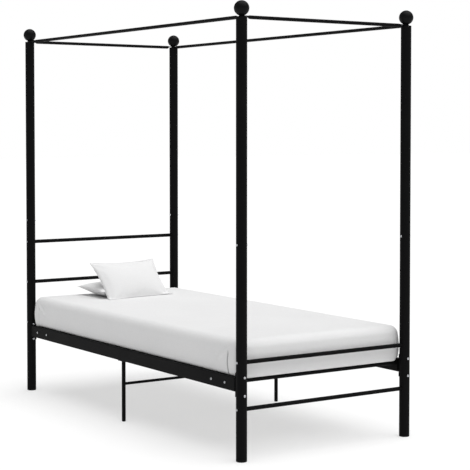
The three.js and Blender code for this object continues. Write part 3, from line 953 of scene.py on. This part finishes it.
def makeHem(ring, sheetFinish):
    # the elastic band sewn along the sheet's edge, gathered in small waves
    sides, count, points = hemLook["sides"], len(ring), []
    for n in range(count):
        here = Vector(ring[n])
        ahead = Vector(ring[(n + 1) % count]) - Vector(ring[n - 1])
        across = Vector((-ahead.y, ahead.x, 0)).normalized()
        wave = hemLook["wave"] * math.sin(n * hemLook["waveTurn"])
        for k in range(sides):
            angle = 2 * math.pi * k / sides
            offset = across * (hemLook["halfWidth"] * math.cos(angle) + wave)
            points.append(here + offset + Vector((0, 0, hemLook["halfHeight"] * math.sin(angle))))
    faces = tubeFaces(count, sides)
    return newPiece("sheet_hem", points, faces, sheetFinish, "mattress")


makeMattress()
fittedSheet, hemPoints, sheetFinish = makeSheet()
sheetHem = makeHem(hemPoints, sheetFinish)
print("mattress and sheet made")


pillowCut = {
    "width": 0.430,
    "depth": 0.280,
    "thickness": 0.084,
    "pullIn": 0.078,      # how far a side comes in halfway between its corners
    "across": 74,
    "along": 52,
    "crown": 0.55,        # lower is flatter in the middle and steeper at the rim
    "rimFreedom": 0.12,   # share of the swelling that the rim may make
    "freedom": 0.4,
    "frames": 20,
    "swell": 0.007,       # farthest that the filling pushes the cover out
    "unevenness": 0.0015,
    "seam": 0.0011,
    "seamSides": 8,
    "gap": 0.0015,
    "blend": 0.008,       # rounding of the edge that it rests on
    "pressedBlend": 0.006,
    "pressed": 0.006,     # thickness of the back one where the front one presses on it
    "pressedEdge": (-0.08, 0.10),
}
pillowCloth = {
    "quality": 6,
    "mass": 0.15,
    "tension_stiffness": 25,
    "compression_stiffness": 12,
    "shear_stiffness": 8,
    "bending_stiffness": 0.15,
    "use_pressure": True,
    "uniform_pressure_force": 4.0,
}
pillowPlaces = {
    "pillow_front": {
        "middle": (0.003, 0.718, 0.590),
        "lean": 50.0,
        "roll": 0.0,
        "turn": 7.5,
        "fill": 0.7,
    },
    "pillow_back": {
        "middle": (-0.006, 0.795, 0.541),
        "lean": 1.0,
        "roll": 4.5,
        "turn": 0.0,
        "fill": 0.6,
    },
}


def cutPillow(name):
    # two layers of cloth that share their rim, crowned, their sides pulled in between the corners
    across, along = pillowCut["across"], pillowCut["along"]
    points, faces, index, freedom = [], [], {}, []
    for side in (1, -1):
        for j in range(along + 1):
            for i in range(across + 1):
                rim = i in (0, across) or j in (0, along)
                if rim and side == -1:
                    continue
                u, v = 2 * i / across - 1, 2 * j / along - 1
                flat = (1 - u * u) * (1 - v * v)
                index[(side, i, j)] = len(points)
                points.append((
                    u * pillowCut["width"] / 2 * (1 - pillowCut["pullIn"] * (1 - v * v)),
                    v * pillowCut["depth"] / 2 * (1 - pillowCut["pullIn"] * (1 - u * u)),
                    side * flat ** pillowCut["crown"] * pillowCut["thickness"] / 2,
                ))
                held = pillowCut["rimFreedom"]
                freedom.append(held + (1 - held) * flat ** pillowCut["freedom"])
    for side in (1, -1):
        for j in range(along):
            for i in range(across):
                ring = [(i, j), (i + 1, j), (i + 1, j + 1), (i, j + 1)]
                face = tuple(index.get((side, *key), index.get((1, *key))) for key in ring)
                faces.append(face if side == 1 else face[::-1])
    mesh = bpy.data.meshes.new(name)
    mesh.from_pydata(points, [], faces)
    pillow = bpy.data.objects.new(name, mesh)
    bpy.context.scene.collection.objects.link(pillow)
    return pillow, [index[(1, i, j)] for i, j in rimOf(across, along)], np.array(freedom)


def inflate(pillow, freedom, seed):
    # cloth simulation of the filled cover; its moves are held under a limit
    start = np.array([v.co for v in pillow.data.vertices])
    for v in pillow.data.vertices:
        v.co.z += pillowCut["unevenness"] * noise.noise(Vector((v.co.x * 14, v.co.y * 14, seed)))
    cloth = pillow.modifiers.new("filling", "CLOTH")
    for key, value in pillowCloth.items():
        setattr(cloth.settings, key, value)
    cloth.settings.effector_weights.gravity = 0
    cloth.point_cache.frame_start = 1
    cloth.point_cache.frame_end = pillowCut["frames"]
    scene = bpy.context.scene
    scene.frame_start, scene.frame_end = 1, pillowCut["frames"]
    for step in range(1, pillowCut["frames"] + 1):
        scene.frame_set(step)
    done = pillow.evaluated_get(bpy.context.evaluated_depsgraph_get())
    moves = np.array([v.co for v in done.to_mesh().vertices]) - start
    done.to_mesh_clear()
    pillow.modifiers.remove(cloth)
    scene.frame_set(1)
    reach = np.maximum(np.linalg.norm(moves, axis=1), 1e-9)
    limit = pillowCut["swell"] * freedom
    print("swelling up to", round(float(reach.max()), 4))
    return start + moves * (limit * np.tanh(reach / limit) / reach)[:, None]


creaseLook = {
    "fromCorner": 0.34,   # in half sizes of the pillow
    "spread": 0.24,
    "number": 11,
    "shift": (1.7, 0.9),
    "height": 0.0016,
}


def creased(shape):
    # gathers that fan out from the corners
    shape = shape.copy()
    u = shape[:, 0] / pillowCut["width"] * 2
    v = shape[:, 1] / pillowCut["depth"] * 2
    side = np.sign(shape[:, 2])
    shiftU, shiftV = creaseLook["shift"]
    for signU in (-1, 1):
        for signV in (-1, 1):
            alongX, alongY = 1 - u * signU, 1 - v * signV
            distance = np.hypot(alongX, alongY)
            angle = np.arctan2(alongY, alongX)
            fade = np.exp(-((distance - creaseLook["fromCorner"]) / creaseLook["spread"]) ** 2)
            fan = np.sin(angle * creaseLook["number"] + shiftU * signU + shiftV * signV)
            shape[:, 2] += side * fade * fan * creaseLook["height"]
    return shape


def softMin(values, limit, blend):
    # values stay under limit, with a soft turn of the given size
    over = np.maximum(values - (limit - blend), 0.0)
    return np.where(over > 0, limit - blend * np.exp(-over / blend), values)


def makePillow(name, seed, base, ceiling=None):
    spot = pillowPlaces[name]
    pillow, rim, freedom = cutPillow(name + "_case")
    shape = np.array([v.co for v in pillow.data.vertices])
    shape = inflate(pillow, freedom, seed)
    shape = creased(shape)
    print(name, "size", np.round(np.ptp(shape, axis=0), 3))
    lean = Matrix.Rotation(math.radians(spot["lean"]), 3, "X")
    roll = Matrix.Rotation(math.radians(spot["roll"]), 3, "Y")
    turn = Matrix.Rotation(math.radians(spot["turn"]), 3, "Z")
    shape = shape @ np.array(turn @ roll @ lean).T + np.array(spot["middle"])
    if ceiling is not None:
        limits = np.array([ceiling(x, y) for x, y, z in shape]) - pillowCut["gap"]
        pressed = softMin(shape[:, 2], limits, pillowCut["pressedBlend"])
        shape[:, 2] = np.where(np.isfinite(limits), pressed, shape[:, 2])
    floors = np.array([base(x, y) for x, y, z in shape])
    shape[:, 2] = -softMin(-shape[:, 2], -floors, pillowCut["blend"])
    pillow.data.vertices.foreach_set("co", shape.astype(np.float32).ravel())
    pillow.data.update()
    pillow.data.shade_smooth()
    pillow.data.materials.append(pillowFinish)
    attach(pillow, name)
    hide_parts(name)
    finer = pillow.modifiers.new("finer", "SUBSURF")
    finer.levels = finer.render_levels = 1
    makeSeam(name, shape[rim])
    return pillow


def makeSeam(name, ring):
    # the turned seam that stands along the pillowcase's edge
    sides, count, points = pillowCut["seamSides"], len(ring), []
    for n in range(count):
        ahead = Vector(ring[(n + 1) % count]) - Vector(ring[n - 1])
        turn = ahead.to_track_quat("Z", "Y").to_matrix()
        for k in range(sides):
            angle = 2 * math.pi * k / sides
            flat = Vector((math.cos(angle), math.sin(angle), 0)) * pillowCut["seam"]
            points.append(Vector(ring[n]) + turn @ flat)
    newPiece(name + "_seam", points, tubeFaces(count, sides), pillowFinish, name)


def undersideOf(piece):
    # height of a piece's lowest surface over a point of the bed
    graph = bpy.context.evaluated_depsgraph_get()
    shown = piece.evaluated_get(graph)

    def height(x, y):
        hit, spot, _, _ = shown.ray_cast(Vector((x, y, 0.0)), Vector((0, 0, 1)))
        return spot.z if hit else math.inf
    return height


pillowSeat = mattressTop + mattressLook["crown"] + pillowCut["gap"]


def onBackPillow(x, y):
    # height of what the front pillow stands on: the mattress, or the edge of the back pillow
    spot = pillowPlaces["pillow_back"]
    turn = math.radians(spot["turn"])
    awayX, awayY = x - spot["middle"][0], y - spot["middle"][1]
    u = (awayX * math.cos(turn) + awayY * math.sin(turn)) / pillowCut["width"] * 2
    v = (awayY * math.cos(turn) - awayX * math.sin(turn)) / pillowCut["depth"] * 2
    inside = 1 - max(abs(u), abs(v))
    step = pillowCut["pressed"] + pillowCut["gap"]
    return pillowSeat + step * smoothStep(*pillowCut["pressedEdge"], inside)


frontPillow = makePillow("pillow_front", 3.0, onBackPillow)
makePillow("pillow_back", 7.0, lambda x, y: pillowSeat, undersideOf(frontPillow))
print("pillows made")


stageLook = {
    "floor": (0.45, 0.45, 0.45),
    "floorGlow": 0.525,
    "floorGrain": 0.6,
    "floorShade": 0.985,
    "halfFloor": 60.0,
    "sky": 0.335,
    "backdrop": 1.0,
    "sunStrength": 2.84,
    "sunSpread": 78.0,
    "sunFrom": (0.34, -0.46, 2.0),
}


def makeStage():
    mesh = bpy.data.meshes.new("studio_floor")
    half = stageLook["halfFloor"]
    corners = [(-half, -half, 0), (half, -half, 0), (half, half, 0), (-half, half, 0)]
    mesh.from_pydata(corners, [], [(0, 1, 2, 3)])
    floor = bpy.data.objects.new("studio_floor", mesh)
    bpy.context.scene.collection.objects.link(floor)
    f = Finish("pale_floor")
    faint = f.grain(f.place(), stageLook["floorGrain"])
    low = tuple(c * stageLook["floorShade"] for c in stageLook["floor"])
    colour = f.mixed(faint, low, stageLook["floor"])
    glow = {"glow": (1.0, 1.0, 1.0), "glowStrength": stageLook["floorGlow"]}
    mesh.materials.append(f.done(colour=colour, roughness=1.0, gloss=0.0, **glow))


def makeLight():
    world = bpy.data.worlds.new("studio")
    bpy.context.scene.world = world
    world.use_nodes = True
    nodes, links = world.node_tree.nodes, world.node_tree.links
    path = nodes.new("ShaderNodeLightPath")
    level = nodes.new("ShaderNodeMapRange")
    level.inputs["To Min"].default_value = stageLook["sky"]
    level.inputs["To Max"].default_value = stageLook["backdrop"]
    links.new(path.outputs["Is Camera Ray"], level.inputs["Value"])
    links.new(level.outputs["Result"], nodes["Background"].inputs["Strength"])
    nodes["Background"].inputs["Color"].default_value = (1, 1, 1, 1)
    sun = bpy.data.lights.new("soft_overhead", "SUN")
    sun.energy = stageLook["sunStrength"]
    sun.angle = math.radians(stageLook["sunSpread"])
    lamp = bpy.data.objects.new("soft_overhead", sun)
    lamp.rotation_euler = Vector(stageLook["sunFrom"]).to_track_quat("Z", "Y").to_euler()
    bpy.context.scene.collection.objects.link(lamp)


cameraLook = {
    "place": (-3.829, -5.972, 1.4072),
    "turn": -33.984,
    "tilt": 2.303,
    "lens": 108.55,
    "sensor": 36.0,
    "rise": -0.0988,
}


def makeCamera():
    camera = bpy.data.cameras.new("camera")
    camera.lens = cameraLook["lens"]
    camera.sensor_width = cameraLook["sensor"]
    camera.shift_y = cameraLook["rise"]
    holder = bpy.data.objects.new("camera", camera)
    holder.location = cameraLook["place"]
    holder.rotation_euler = (math.radians(90 - cameraLook["tilt"]), 0, math.radians(cameraLook["turn"]))
    bpy.context.scene.collection.objects.link(holder)
    bpy.context.scene.camera = holder


makeStage()
makeLight()
makeCamera()
bpy.context.scene.view_settings.view_transform = "Standard"
print("stage, light and camera set")
